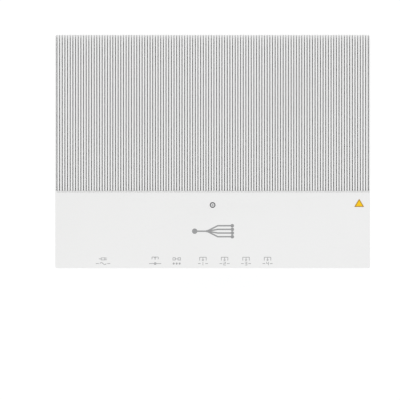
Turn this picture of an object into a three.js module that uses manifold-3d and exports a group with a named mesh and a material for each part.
// Optical network terminal: a mains-powered fibre distribution unit. A flat white case holds one
// mains inlet and six fibre adapters along one edge, and a finned heat sink covers the rear of its lid.
// Millimetres, +Z up, the ports face -Y, and the rubber feet stand on z = 0.
import * as THREE from "three";
import { mergeVertices } from "three/addons/utils/BufferGeometryUtils.js";
import Module from "manifold-3d";

const wasm = await Module();
wasm.setup();

// Case
const unit = { width: 232, depth: 172, corner: 1.5 };
const level = {
  caseBottom: 3.1,
  seamBottom: 29.45,
  seamTop: 30.15,
  rearPlateTop: 35.4,
  sinkBottom: 35.65,
  grooveFloor: 38.65,
  deckTop: 43,
  finTip: 43.65,
};
const shell = { wall: 2.2, floor: 2.4, deck: 2.4, rearPlate: 2.2 };
const seam = { lip: 0.8, tongueInset: 1.1, tongue: 2.2, room: 0.3 };
const deckRear = -29.85;
const ledge = { depth: 0.8, gap: 0.05 };
const boardWindow = { x: -40, y: 22, side: 34 };
const labelRecess = { width: 70, length: 34, corner: 2, depth: 0.3, y: -12 };

// Heat sink
const sink = { width: 231.3, front: -28.8, grooves: 118, pitch: 1.9615, groove: 0.75 };
const sinkScrews = { x: 70, y: 30, head: 2.6, headHeight: 2, shank: 1.45, tip: 37.9, tipRoom: 0.3 };
const sinkPad = { radius: 4, room: 0.15 };

// Feet and wall-hanging bosses
const foot = { x: 98, y: 68, boss: 7.5, bossBottom: 1.15, collar: 5.1, collarBottom: 0.55 };
const footPad = { radius: 4.6, height: 1.8, chamfer: 0.35, room: 0.05 };
const hanger = { x: 29.55, y: 30, width: 11.2, length: 19, bottom: 0.6, top: 8, shift: 3.9 };
const keyhole = { entry: 3.7, slot: 3.9, lipTop: 2.6, pocket: 3.8, pocketTop: 6.6 };

// Case screws, driven from below into bosses of the cover
const screwPost = { x: 108, y: 78, radius: 4.5, top: 9 };
const coverPost = { radius: 3.25, bottom: 9.2, roof: 1, bore: 1.3, boreTop: 20 };
const screwForm = { recess: 0.9, recessShare: 0.45, point: 0.3, pointLength: 0.8 };
const caseScrew = { head: 2.8, headBottom: 3.9, seat: 5.9, shank: 1.2, tip: 17.9, well: 3.2, hole: 1.6 };

// Ports along the front edge. Positions are port centres; a port's own frame starts at its mouth.
const mouth = -unit.depth / 2 + 0.1;
const inlet = { x: -80.77, z: 18, width: 18.9, height: 11.05, depth: 16 };
const inletRecess = { depth: 9.8, lobe: 3.95, waist: 5.6 };
const inletFlange = { reach: 1.2, front: 2.3, back: 3.8 };
const inletPin = { x: 4.3, radius: 1.2, nose: 0.7, noseLength: 0.8, front: 0.9, back: 19.5 };
const lowPort = { outer: [12.8, 9.6], outerZ: 0, bore: [10, 7.4], key: [2.2, 1.3], arm: 3.3 };
const tallPort = { outer: [12.7, 11.8], outerZ: -0.85, bore: [9.1, 7.4], key: [2.2, 1.3], arm: 3.1 };
const ports = [
  { name: "input", form: lowPort, x: -42.39, z: 18.05 },
  { name: "cascade", form: lowPort, x: -26.51, z: 18.05 },
  { name: "output_1", form: tallPort, x: -7.14, z: 17.9 },
  { name: "output_2", form: tallPort, x: 8.81, z: 17.9 },
  { name: "output_3", form: tallPort, x: 24.64, z: 17.9 },
  { name: "output_4", form: tallPort, x: 40.49, z: 17.9 },
];
const adapter = { length: 27, web: 13.9, webThickness: 1.2, keyEnd: 11.9 };
const adapterWing = { reach: 1.2, front: 2.3, back: 4.1 };
const holder = { radius: 2.3, bore: 1.72, front: 6, back: 22.9, lip: 1.35, lipDepth: 0.6 };
const holderCollar = { radius: 3.4, front: 15.2, back: 16 };
const sleeve = { radius: 1.65, bore: 1.25, front: 6.8, back: 21.8, slit: 0.4 };
const latch = { thickness: 1, height: 4, tip: 4.8, rootGap: 0.3 };
const latchHook = { depth: 0.5, length: 0.9, ramp: 0.7, flat: 0.2, slope: 0.1 };
const cradle = { front: -80.5, back: -79, clearance: 0.1 };
const cradleSpan = { low: [-49, -19.9], tall: [-13.5, 46.9], inlet: [-87, -74.5] };

// Light guides and the deck's triangular marker
const portLight = { z: 9.54, radius: 0.55, hole: 0.65, holeEnd: -78, back: -60, left: -13, right: 46.5 };
const guidePlate = { y: -82.9, length: 1.2, height: 2.2 };
const guideTie = { inset: 3, length: 1.5, height: 1.5 };
const indicator = { x: 0, y: -39.4, lens: 1.65, hole: 1.75, bottom: 12.2 };
const indicatorStem = { radius: 1.5, flange: 2.6, flangeHeight: 1.1, gap: 0.1 };
const indicatorDome = { width: 0.45, height: 0.15 };
const marker = { x: 108, y: -37.75, half: 3.65, front: -3, tip: 2.95, thickness: 0.15 };

// Inner parts
const board = { bottom: 9.4, top: 11, left: -103, right: 60, inner: 3, front: -57, step: -28, rear: 75 };
const standoffs = [[-98, -50], [-98, 70], [-2, 70], [54, -50]];
const standoffRadius = 3;
const boardScrew = { at: [1, 3], head: 2.6, headHeight: 1.6, shank: 1.2, tip: 6.6, hole: 1.4, base: 0.5 };
const tray = { x: 56, y: 24, width: 94, length: 98, corner: 6, bottom: 8.6, base: 1.2, rim: 14.6, wall: 1.4 };
const traySupport = { inset: 6, radius: 3 };
const trayEntry = { x: 18, width: 9, length: 6, height: 10 };
const spool = { radius: 22, wall: 1.4, back: 12, root: 0.2 };
const splitter = { width: 50, length: 7, height: 4, y: 62 };
const splitterBoot = { reach: 2, length: 4.2, width: 4.4, height: 2.6, bottom: 0.7 };
const transformer = { x: -78, y: -12, core: [26, 12, 17], coreBottom: 1.2, bobbin: [24, 24, 1.3] };
const transformerCoil = { width: 19, length: 22, corner: 3, bottom: 2.6, top: 16.6 };
const capacitor = { x: -88, y: 22, radius: 8, height: 20, chamfer: 0.8, rim: 6, rimSlope: 0.2, dimple: 0.3 };
const choke = { x: -84, y: -44, base: [15, 15, 1.2] };
const chokeRing = { inner: 3.4, outer: 8.4, bottom: 1, top: 10, inside: 0.6, chamfer: 0.8 };
const spreader = { side: 30, chip: 17, chipHeight: 1.4, padHeight: 1 };

// Facets on half a turn of a round outline, by the size of the feature
const facets = { corner: 3, tiny: 4, small: 6, large: 8 };

// How far a cutting tool runs past the face that it opens, how deep a boss is rooted in the floor, and
// what a full round end keeps straight
const past = 1;
const rootDepth = 0.5;
const hair = 0.01;

// Smallest corner of an inner outline, and the play of a port in its opening, of a screw in its bore and
// of a round part in its seat
const leastCorner = 0.4;
const play = { port: 0.2, screw: 0.1, round: 0.05 };

const finish = {
  case: { color: 0xf0f0ef, roughness: 0.42, metalness: 0 },
  sink: { color: 0xeeeeed, roughness: 0.5, metalness: 0.1 },
  blue: { color: 0x2679cf, roughness: 0.4, metalness: 0 },
  darkBlue: { color: 0x0e4274, roughness: 0.45, metalness: 0 },
  black: { color: 0x2a2a2a, roughness: 0.5, metalness: 0 },
  rubber: { color: 0x1d1d1e, roughness: 0.85, metalness: 0 },
  nickel: { color: 0xc9cacc, roughness: 0.25, metalness: 1 },
  steel: { color: 0xa9abae, roughness: 0.35, metalness: 1 },
  zirconia: { color: 0xf4f1ea, roughness: 0.2, metalness: 0 },
  clear: { color: 0xb9bcbe, roughness: 0.2, metalness: 0 },
  amber: { color: 0xf1c20c, roughness: 0.5, metalness: 0 },
  board: { color: 0x1f6b3a, roughness: 0.5, metalness: 0 },
  winding: { color: 0xd8b23a, roughness: 0.5, metalness: 0 },
  choke: { color: 0x9a4f22, roughness: 0.45, metalness: 0.4 },
  can: { color: 0x2b3550, roughness: 0.4, metalness: 0 },
  aluminium: { color: 0xb5b8bb, roughness: 0.4, metalness: 1 },
  pad: { color: 0x8fa6b8, roughness: 0.9, metalness: 0 },
  tray: { color: 0xd9dadb, roughness: 0.55, metalness: 0 },
};

// Solids

function solidOf(geometry) {
  const bare = geometry.clone();
  bare.deleteAttribute("normal");
  bare.deleteAttribute("uv");
  const merged = mergeVertices(bare, 1e-4);
  const vertProperties = merged.getAttribute("position").array;
  const triVerts = new Uint32Array(merged.index.array);
  return new wasm.Manifold(new wasm.Mesh({ numProp: 3, vertProperties, triVerts }));
}

function geometryOf(solid) {
  const { vertProperties, triVerts } = solid.getMesh();
  const geometry = new THREE.BufferGeometry();
  geometry.setAttribute("position", new THREE.BufferAttribute(vertProperties, 3));
  geometry.setIndex(new THREE.BufferAttribute(triVerts, 1));
  geometry.computeVertexNormals();
  return geometry;
}

function join(first, ...others) {
  return others.reduce((sum, next) => sum.add(next), first);
}

function cut(body, ...tools) {
  return tools.reduce((rest, tool) => rest.subtract(tool), body);
}

// Outlines and prisms

function rectangle(width, height, x = 0, y = 0) {
  const shape = new THREE.Shape();
  shape.moveTo(x - width / 2, y - height / 2);
  shape.lineTo(x + width / 2, y - height / 2);
  shape.lineTo(x + width / 2, y + height / 2);
  shape.lineTo(x - width / 2, y + height / 2);
  return shape;
}

function roundedRectangle(width, height, radius, x = 0, y = 0) {
  const right = width / 2 - radius;
  const top = height / 2 - radius;
  const shape = new THREE.Shape();
  const corners = [[right, -top], [right, top], [-right, top], [-right, -top]];
  corners.forEach(([cx, cy], turn) => {
    const start = (turn - 1) * (Math.PI / 2);
    shape.absarc(x + cx, y + cy, radius, start, start + Math.PI / 2, false);
  });
  return shape;
}

function circle(radius, x = 0, y = 0) {
  const shape = new THREE.Shape();
  shape.absarc(x, y, radius, 0, 2 * Math.PI, false);
  return shape;
}

function polygon(points) {
  return new THREE.Shape(points.map(([x, y]) => new THREE.Vector2(x, y)));
}

// An outline in X and Y, extruded from one height to another.
function upright(shape, bottom, top, curveSegments = facets.small) {
  const options = { depth: top - bottom, bevelEnabled: false, curveSegments };
  return solidOf(new THREE.ExtrudeGeometry(shape, options).translate(0, 0, bottom));
}

// An outline in X and Z, extruded along Y from front to back.
function lengthwise(shape, front, back, curveSegments = facets.small) {
  const options = { depth: back - front, bevelEnabled: false, curveSegments };
  return solidOf(new THREE.ExtrudeGeometry(shape, options).rotateX(Math.PI / 2).translate(0, back, 0));
}

function box(x, y, z, width, length, height) {
  return solidOf(new THREE.BoxGeometry(width, length, height).translate(x, y, z + height / 2));
}

// A turned piece from [radius, height] points on its section.
function turned(points, segments = 2 * facets.large) {
  const section = points.map(([radius, height]) => new THREE.Vector2(radius, height));
  return solidOf(new THREE.LatheGeometry([...section, section[0]], segments).rotateX(Math.PI / 2));
}

function outline(inset) {
  const radius = Math.max(unit.corner - inset, leastCorner);
  return roundedRectangle(unit.width - 2 * inset, unit.depth - 2 * inset, radius);
}

function cornersOf({ x, y }) {
  return [[-x, -y], [x, -y], [x, y], [-x, y]];
}

function piece(name, solid, look) {
  const mesh = new THREE.Mesh(geometryOf(solid), new THREE.MeshStandardMaterial(look));
  mesh.name = name;
  return mesh;
}

const unitGroup = new THREE.Group();

// Bottom case

function hangerBlock(side) {
  const { width, length, bottom, top } = hanger;
  const block = roundedRectangle(width, length, width / 2, side * hanger.x, hanger.y);
  return upright(block, bottom, top, facets.tiny);
}

function keyholeCut(side) {
  const x = side * hanger.x;
  const entryY = hanger.y - hanger.shift;
  const { entry, slot, lipTop, pocket, pocketTop } = keyhole;
  const through = hanger.bottom - past;
  const pocketLength = 2 * (hanger.shift + pocket);
  const slotLength = 2 * hanger.shift + slot;
  const slotShape = roundedRectangle(slot, slotLength, slot / 2 - hair, x, hanger.y);
  const pocketShape = roundedRectangle(2 * pocket, pocketLength, pocket - hair, x, hanger.y);
  return join(
    upright(circle(entry, x, entryY), through, pocketTop, facets.small),
    upright(slotShape, through, pocketTop, facets.corner),
    upright(pocketShape, lipTop, pocketTop, facets.tiny),
  );
}

function footBoss([x, y]) {
  const { boss, bossBottom, collar, collarBottom } = foot;
  return join(
    upright(circle(boss, x, y), bossBottom, level.caseBottom + rootDepth, facets.large),
    upright(circle(collar, x, y), collarBottom, bossBottom + rootDepth, facets.large),
  );
}

function footSeat([x, y]) {
  return upright(circle(footPad.radius + footPad.room, x, y), 0, footPad.height, facets.large);
}

function screwWell([x, y]) {
  const { well, hole, seat } = caseScrew;
  return join(
    upright(circle(well, x, y), 0, seat, facets.small),
    upright(circle(hole, x, y), seat - past, screwPost.top + past, facets.small),
  );
}

function portCutOuts() {
  const front = -unit.depth / 2 - past;
  const back = -unit.depth / 2 + shell.wall + past;
  const frames = ports.map(({ x, z, form }) => {
    const [width, height] = form.outer;
    return lengthwise(rectangle(width + play.port, height + play.port, x, z + form.outerZ), front, back);
  });
  const inletHeight = inlet.height + play.port;
  const size = [inlet.width + play.port, inletHeight, inletHeight / 2 - hair];
  return [...frames, lengthwise(roundedRectangle(...size, inlet.x, inlet.z), front, back, facets.small)];
}

function outputPorts() {
  return ports.filter(({ form }) => form === tallPort);
}

function lightHoles() {
  const { hole, holeEnd, z } = portLight;
  const front = -unit.depth / 2 - past;
  return outputPorts().map(({ x }) => lengthwise(circle(hole, x, z), front, holeEnd, facets.tiny));
}

// Ribs that carry the adapters and the inlet from below.
function cradleRibs() {
  const { front, back, clearance } = cradle;
  const { low, tall } = cradleSpan;
  const floor = level.caseBottom + past;
  const lowTop = ports[0].z - lowPort.outer[1] / 2 - clearance;
  const tallTop = ports[2].z + tallPort.outerZ - tallPort.outer[1] / 2 - clearance;
  const inletTop = inlet.z - inlet.height / 2 - clearance;
  const spans = [[...low, lowTop], [...tall, tallTop], [...cradleSpan.inlet, inletTop]];
  return spans.map(([left, right, top]) =>
    box((left + right) / 2, (front + back) / 2, floor, right - left, back - front, top - floor),
  );
}

function traySupports() {
  const { inset, radius } = traySupport;
  const reach = { x: tray.width / 2 - inset, y: tray.length / 2 - inset };
  return cornersOf(reach).map(([x, y]) => {
    const post = circle(radius, tray.x + x, tray.y + y);
    return upright(post, level.caseBottom + past, tray.bottom, facets.tiny);
  });
}

function makeBottomCase() {
  const floorTop = level.caseBottom + shell.floor;
  const rooted = floorTop - rootDepth;
  const posts = cornersOf(screwPost);
  const feet = cornersOf(foot);
  const body = upright(outline(0), level.caseBottom, level.seamBottom, facets.corner);
  const tongue = upright(outline(seam.tongueInset), floorTop, level.seamBottom + seam.tongue, facets.corner);
  const hollow = upright(outline(shell.wall), floorTop, level.deckTop, facets.corner);
  const tub = cut(join(body, tongue), hollow);
  const full = join(
    tub,
    ...feet.map(footBoss),
    ...[-1, 1].map(hangerBlock),
    ...posts.map(([x, y]) => upright(circle(screwPost.radius, x, y), rooted, screwPost.top)),
    ...standoffs.map(([x, y]) => upright(circle(standoffRadius, x, y), rooted, board.bottom, facets.tiny)),
    ...traySupports(),
    ...cradleRibs(),
  );
  const screwBores = boardScrew.at.map((index) => {
    const [x, y] = standoffs[index];
    const bore = circle(boardScrew.shank + play.screw, x, y);
    return upright(bore, floorTop + boardScrew.base, board.bottom + past, facets.small);
  });
  const { width, length, depth, corner, y } = labelRecess;
  const labelShape = roundedRectangle(width, length, corner, 0, y);
  const label = upright(labelShape, 0, level.caseBottom + depth, facets.corner);
  const cuts = [...feet.map(footSeat), ...[-1, 1].map(keyholeCut), ...posts.map(screwWell), ...screwBores];
  return cut(full, ...cuts, ...portCutOuts(), ...lightHoles(), label);
}

// Top cover: a raised front deck, a ledge that fills the gap behind it, a rear plate under the heat sink

function coverBoss([x, y]) {
  const roof = y < 0 ? level.deckTop : level.rearPlateTop;
  return upright(circle(coverPost.radius, x, y), coverPost.bottom, roof - coverPost.roof, facets.small);
}

function makeTopCover() {
  const full = 2 * unit.depth;
  const rearUnder = level.rearPlateTop - shell.rearPlate;
  const deckUnder = level.deckTop - shell.deck;
  const rebateTop = level.seamBottom + seam.tongue + seam.room;
  const frontInside = deckRear - shell.wall + unit.depth / 2 - shell.wall;
  const frontMiddle = -unit.depth / 2 + shell.wall + frontInside / 2;
  const inside = unit.width - 2 * shell.wall;
  const body = cut(
    upright(outline(0), level.seamTop, level.deckTop, facets.corner),
    box(0, deckRear + full / 2, level.rearPlateTop, 2 * unit.width, full, level.deckTop),
    upright(outline(shell.wall), level.seamTop - past, rearUnder, facets.corner),
    box(0, frontMiddle, rearUnder - past, inside, frontInside, deckUnder - rearUnder + past),
    upright(outline(seam.lip), level.seamTop - past, rebateTop, facets.corner),
  );
  const ledgeRear = sink.front - ledge.gap;
  const ledgeMiddle = (deckRear + ledgeRear) / 2;
  const ledgeBottom = level.rearPlateTop - past;
  const ledgeHeight = level.deckTop - ledge.depth - ledgeBottom;
  const sinkLedge = box(0, ledgeMiddle, ledgeBottom, unit.width, ledgeRear - deckRear, ledgeHeight);
  const pads = [-1, 1].map((side) => {
    const pad = circle(sinkPad.radius, side * sinkScrews.x, sinkScrews.y);
    return upright(pad, rearUnder, level.sinkBottom, facets.small);
  });
  const screwHoles = [-1, 1].map((side) => {
    const hole = circle(sinkScrews.shank + sinkPad.room, side * sinkScrews.x, sinkScrews.y);
    return upright(hole, rearUnder - past, level.deckTop);
  });
  const bosses = cornersOf(screwPost);
  const { bore, bottom, boreTop } = coverPost;
  const bores = bosses.map(([x, y]) => upright(circle(bore, x, y), bottom - past, boreTop, facets.small));
  return cut(
    join(body, sinkLedge, ...bosses.map(coverBoss), ...pads),
    ...bores,
    ...screwHoles,
    box(boardWindow.x, boardWindow.y, rearUnder - past, boardWindow.side, boardWindow.side, level.deckTop),
    upright(circle(indicator.hole, indicator.x, indicator.y), rearUnder, level.deckTop + past, facets.large),
  );
}

// Heat sink: one extrusion whose grooves run from front to back

function finSection() {
  const edge = sink.width / 2;
  const half = sink.groove / 2;
  const points = [[-edge, level.sinkBottom], [edge, level.sinkBottom], [edge, level.finTip]];
  for (let index = sink.grooves - 1; index >= 0; index -= 1) {
    const middle = (index - (sink.grooves - 1) / 2) * sink.pitch;
    points.push([middle + half, level.finTip], [middle + half, level.grooveFloor]);
    points.push([middle - half, level.grooveFloor], [middle - half, level.finTip]);
  }
  points.push([-edge, level.finTip]);
  return polygon(points);
}

function makeHeatSink() {
  const margin = (unit.width - sink.width) / 2;
  const rear = unit.depth / 2;
  const bores = [-1, 1].map((side) => {
    const at = circle(sinkScrews.shank + play.screw, side * sinkScrews.x, sinkScrews.y);
    return upright(at, level.sinkBottom - past, sinkScrews.tip + sinkScrews.tipRoom, facets.small);
  });
  const plan = roundedRectangle(sink.width, unit.depth, unit.corner - margin);
  const limit = upright(plan, level.sinkBottom - past, level.finTip + past, facets.corner);
  return cut(lengthwise(finSection(), sink.front, rear).intersect(limit), ...bores);
}

unitGroup.add(
  piece("bottom_case", makeBottomCase(), finish.case),
  piece("top_cover", makeTopCover(), finish.case),
  piece("heat_sink", makeHeatSink(), finish.sink),
);

// Deck marker and light guides

function makeMarker() {
  const { half, front, tip, thickness } = marker;
  return upright(polygon([[-half, front], [half, front], [0, tip]]), 0, thickness);
}

function makeIndicatorGuide() {
  const { lens, bottom } = indicator;
  const { radius: stem, flange, flangeHeight, gap } = indicatorStem;
  const top = level.deckTop;
  const under = top - shell.deck - gap;
  const flangeBottom = under - flangeHeight;
  const section = [[0, bottom], [stem, bottom], [stem, flangeBottom], [flange, flangeBottom]];
  section.push([flange, under], [lens, under], [lens, top - indicatorDome.height]);
  section.push([lens - indicatorDome.width, top], [0, top]);
  const shape = section.map(([radius, height]) => new THREE.Vector2(radius, height));
  return solidOf(new THREE.LatheGeometry(shape, 2 * facets.small).rotateX(Math.PI / 2));
}

function makePortGuide() {
  const { z, radius, back, left, right } = portLight;
  const middle = (left + right) / 2;
  const width = right - left;
  const rods = outputPorts().map(({ x }) => lengthwise(circle(radius, x, z), mouth, back, facets.tiny));
  const { y, length, height } = guidePlate;
  const plate = box(middle, y, z - height / 2, width, length, height);
  const tieY = back - guideTie.length / 2;
  const tieBottom = z - guideTie.height / 2;
  const tie = box(middle, tieY, tieBottom, width - 2 * guideTie.inset, guideTie.length, guideTie.height);
  return join(plate, tie, ...rods);
}

const sticker = piece("marker_sticker", makeMarker(), finish.amber);
sticker.position.set(marker.x, marker.y, level.deckTop);
const guide = piece("indicator_light_guide", makeIndicatorGuide(), finish.clear);
guide.position.set(indicator.x, indicator.y, 0);
unitGroup.add(sticker, guide, piece("port_light_guide", makePortGuide(), finish.clear));

// Mains inlet

function makeInletHousing() {
  const { width, height, depth } = inlet;
  const { depth: recess, lobe, waist } = inletRecess;
  const body = lengthwise(roundedRectangle(width, height, height / 2 - hair), 0, depth, facets.small);
  const { reach, front, back } = inletFlange;
  const rim = roundedRectangle(width + 2 * reach, height + 2 * reach, height / 2 + reach - hair);
  const backFlange = lengthwise(rim, front, back, facets.small);
  const lobes = [-1, 1].map((side) => {
    return lengthwise(circle(lobe, side * inletPin.x, 0), -past, recess, facets.large);
  });
  const middle = lengthwise(rectangle(2 * inletPin.x, waist), -past, recess);
  const holes = [-1, 1].map((side) => {
    const hole = circle(inletPin.radius + play.round, side * inletPin.x, 0);
    return lengthwise(hole, recess - past, depth + past, facets.small);
  });
  return cut(join(body, backFlange), join(middle, ...lobes), ...holes);
}

function makeInletPin() {
  const { radius, nose, noseLength, front, back } = inletPin;
  const section = [[0, front], [nose, front], [radius, front + noseLength], [radius, back], [0, back]];
  const shape = section.map(([across, along]) => new THREE.Vector2(across, along));
  return solidOf(new THREE.LatheGeometry(shape, 2 * facets.small));
}

const inletGroup = new THREE.Group();
inletGroup.position.set(inlet.x, mouth, inlet.z);
inletGroup.add(piece("inlet_housing", makeInletHousing(), finish.black));
for (const [side, name] of [[-1, "inlet_pin_left"], [1, "inlet_pin_right"]]) {
  const pin = piece(name, makeInletPin(), finish.nickel);
  pin.position.x = side * inletPin.x;
  inletGroup.add(pin);
}
unitGroup.add(inletGroup);

// Fibre adapters

function makeAdapterHousing({ outer, outerZ, bore, key }) {
  const [width, height] = outer;
  const { length, web, webThickness, keyEnd } = adapter;
  const body = lengthwise(rectangle(width, height, 0, outerZ), 0, length);
  const wings = rectangle(width + 2 * adapterWing.reach, height, 0, outerZ);
  const keySlot = rectangle(key[0], key[1] + past, 0, (past - bore[1] - key[1]) / 2);
  return cut(
    join(body, lengthwise(wings, adapterWing.front, adapterWing.back)),
    lengthwise(rectangle(...bore), -past, web),
    lengthwise(rectangle(...bore), web + webThickness, length + past),
    lengthwise(keySlot, -past, keyEnd),
    lengthwise(circle(holder.radius + play.round), web - past, web + webThickness + past, facets.small),
  );
}

function makeSleeveHolder() {
  const { radius, bore, front, back, lip, lipDepth } = holder;
  const collar = holderCollar;
  const section = [[lip, front], [radius, front], [radius, collar.front], [collar.radius, collar.front]];
  section.push([collar.radius, collar.back], [radius, collar.back], [radius, back], [bore, back]);
  section.push([bore, front + lipDepth], [lip, front + lipDepth]);
  const shape = section.map(([across, along]) => new THREE.Vector2(across, along));
  return solidOf(new THREE.LatheGeometry([...shape, shape[0]], 2 * facets.small));
}

function makeSplitSleeve() {
  const { radius, bore, front, back, slit } = sleeve;
  const ring = circle(radius);
  ring.holes.push(circle(bore));
  const slot = box(0, (front + back) / 2, bore / 2, slit, back - front + 2 * past, radius);
  return cut(lengthwise(ring, front, back, facets.small), slot);
}

// One flexing arm, seen from above, on the side of the port given by -1 or 1.
function makeLatch({ arm }, side) {
  const { thickness, height, tip, rootGap } = latch;
  const hook = latchHook;
  const near = arm - thickness / 2;
  const far = arm + thickness / 2;
  const rootEnd = adapter.web - rootGap;
  const hooked = near - hook.depth;
  const hookEnd = tip + hook.length;
  const points = [[near, rootEnd], [far, rootEnd], [far, tip], [near + hook.flat, tip]];
  points.push([hooked, tip + hook.ramp], [hooked, hookEnd], [near, hookEnd + hook.slope]);
  return upright(polygon(points.map(([x, y]) => [side * x, y])), -height / 2, height / 2);
}

for (const { name, form, x, z } of ports) {
  const group = new THREE.Group();
  group.position.set(x, mouth, z);
  group.add(
    piece(`adapter_housing_${name}`, makeAdapterHousing(form), finish.blue),
    piece(`sleeve_holder_${name}`, makeSleeveHolder(), finish.darkBlue),
    piece(`split_sleeve_${name}`, makeSplitSleeve(), finish.zirconia),
    piece(`latch_left_${name}`, makeLatch(form, -1), finish.darkBlue),
    piece(`latch_right_${name}`, makeLatch(form, 1), finish.darkBlue),
  );
  unitGroup.add(group);
}

// Feet and screws

function makeScrew({ head, headHeight, shank, length }) {
  const { recess, recessShare, point, pointLength } = screwForm;
  const slot = head * recessShare;
  const section = [[0, recess], [slot, recess], [slot, 0], [head, 0], [head, headHeight]];
  section.push([shank, headHeight], [shank, length - pointLength], [point, length], [0, length]);
  const shape = section.map(([across, along]) => new THREE.Vector2(across, along));
  return solidOf(new THREE.LatheGeometry(shape, 2 * facets.small).rotateX(Math.PI / 2));
}

function makeFoot() {
  const { radius, height, chamfer } = footPad;
  const section = [[0, 0], [radius - chamfer, 0], [radius, chamfer], [radius, height], [0, height]];
  const shape = section.map(([across, up]) => new THREE.Vector2(across, up));
  return solidOf(new THREE.LatheGeometry(shape, 2 * facets.large).rotateX(Math.PI / 2));
}

cornersOf(foot).forEach(([x, y], index) => {
  const pad = piece(`rubber_foot_${index + 1}`, makeFoot(), finish.rubber);
  pad.position.set(x, y, 0);
  unitGroup.add(pad);
});

const caseScrewSizes = {
  head: caseScrew.head,
  headHeight: caseScrew.seat - caseScrew.headBottom,
  shank: caseScrew.shank,
  length: caseScrew.tip - caseScrew.headBottom,
};
cornersOf(screwPost).forEach(([x, y], index) => {
  const screw = piece(`case_screw_${index + 1}`, makeScrew(caseScrewSizes), finish.steel);
  screw.position.set(x, y, caseScrew.headBottom);
  unitGroup.add(screw);
});

const sinkScrewBottom = level.rearPlateTop - shell.rearPlate - sinkScrews.headHeight;
const sinkScrewSizes = { ...sinkScrews, length: sinkScrews.tip - sinkScrewBottom };
for (const [side, name] of [[-1, "heat_sink_screw_left"], [1, "heat_sink_screw_right"]]) {
  const screw = piece(name, makeScrew(sinkScrewSizes), finish.steel);
  screw.position.set(side * sinkScrews.x, sinkScrews.y, sinkScrewBottom);
  unitGroup.add(screw);
}

const boardScrewSizes = { ...boardScrew, length: board.top + boardScrew.headHeight - boardScrew.tip };
boardScrew.at.forEach((index, count) => {
  const screw = piece(`board_screw_${count + 1}`, makeScrew(boardScrewSizes), finish.steel);
  const [x, y] = standoffs[index];
  screw.rotation.x = Math.PI;
  screw.position.set(x, y, board.top + boardScrew.headHeight);
  unitGroup.add(screw);
});

// Inner parts

function makeBoard() {
  const { left, right, inner, front, step, rear, bottom, top } = board;
  const points = [[left, front], [right, front], [right, step], [inner, step], [inner, rear], [left, rear]];
  const holes = boardScrew.at.map((index) => {
    return upright(circle(boardScrew.hole, ...standoffs[index]), bottom - past, top + past, facets.small);
  });
  return cut(upright(polygon(points), bottom, top), ...holes);
}

function makeTransformer() {
  const { width, length, corner, bottom, top } = transformerCoil;
  const core = box(0, 0, transformer.coreBottom, ...transformer.core);
  const coil = upright(roundedRectangle(width, length, corner), bottom, top, facets.corner);
  return join(core, coil, box(0, 0, 0, ...transformer.bobbin));
}

function makeCapacitor() {
  const { radius, height, chamfer, rim, rimSlope, dimple } = capacitor;
  const shoulder = radius - chamfer;
  const section = [[0, 0], [shoulder, 0], [radius, chamfer], [radius, height - chamfer], [shoulder, height]];
  section.push([rim, height], [rim - rimSlope, height - dimple], [0, height - dimple]);
  const shape = section.map(([across, up]) => new THREE.Vector2(across, up));
  return solidOf(new THREE.LatheGeometry(shape, 2 * facets.large).rotateX(Math.PI / 2));
}

function makeChoke() {
  const { inner, outer, bottom, top, inside, chamfer } = chokeRing;
  const section = [[inner + inside, bottom], [outer - chamfer, bottom], [outer, bottom + chamfer]];
  section.push([outer, top - chamfer], [outer - chamfer, top], [inner + inside, top]);
  section.push([inner, top - chamfer], [inner, bottom + chamfer]);
  return join(turned(section), box(0, 0, 0, ...choke.base));
}

function makeTray() {
  const { x, y, width, length, bottom, base, rim, wall, corner } = tray;
  const outer = upright(roundedRectangle(width, length, corner, x, y), bottom, rim, facets.corner);
  const inner = roundedRectangle(width - 2 * wall, length - 2 * wall, corner - wall, x, y);
  const drum = circle(spool.radius, x, y - spool.back);
  drum.holes.push(circle(spool.radius - spool.wall, x, y - spool.back));
  const entries = [-1, 1].map((side) => {
    const { x: offset, width: across, length: along, height } = trayEntry;
    return box(x + side * offset, y - length / 2, bottom + base, across, along, height);
  });
  const shallow = cut(outer, upright(inner, bottom + base, rim + past, facets.corner), ...entries);
  return join(shallow, upright(drum, bottom + base - spool.root, rim, facets.large));
}

function makeSplitter() {
  const { width, length, height } = splitter;
  const body = box(0, 0, 0, width, length, height);
  const boot = splitterBoot;
  const boots = [-1, 1].map((side) => {
    return box(side * (width / 2 + boot.reach), 0, boot.bottom, boot.length, boot.width, boot.height);
  });
  return join(body, ...boots);
}

function place(name, solid, look, x, y, z) {
  const mesh = piece(name, solid, look);
  mesh.position.set(x, y, z);
  unitGroup.add(mesh);
}

const chipTop = board.top + spreader.chipHeight;
const padBottom = level.sinkBottom - spreader.padHeight;
const { x: hotX, y: hotY } = boardWindow;
const chipBody = box(0, 0, 0, spreader.chip, spreader.chip, spreader.chipHeight);
const spreaderBlock = box(0, 0, 0, spreader.side, spreader.side, padBottom - chipTop);
const padSheet = box(0, 0, 0, spreader.side, spreader.side, spreader.padHeight);
unitGroup.add(piece("main_board", makeBoard(), finish.board), piece("fibre_tray", makeTray(), finish.tray));
place("transformer", makeTransformer(), finish.winding, transformer.x, transformer.y, board.top);
place("bulk_capacitor", makeCapacitor(), finish.can, capacitor.x, capacitor.y, board.top);
place("line_choke", makeChoke(), finish.choke, choke.x, choke.y, board.top);
place("driver_chip", chipBody, finish.black, hotX, hotY, board.top);
place("heat_spreader", spreaderBlock, finish.aluminium, hotX, hotY, chipTop);
place("thermal_pad", padSheet, finish.pad, hotX, hotY, padBottom);
place("splitter_module", makeSplitter(), finish.steel, tray.x, splitter.y, tray.bottom + tray.base);

export default unitGroup;
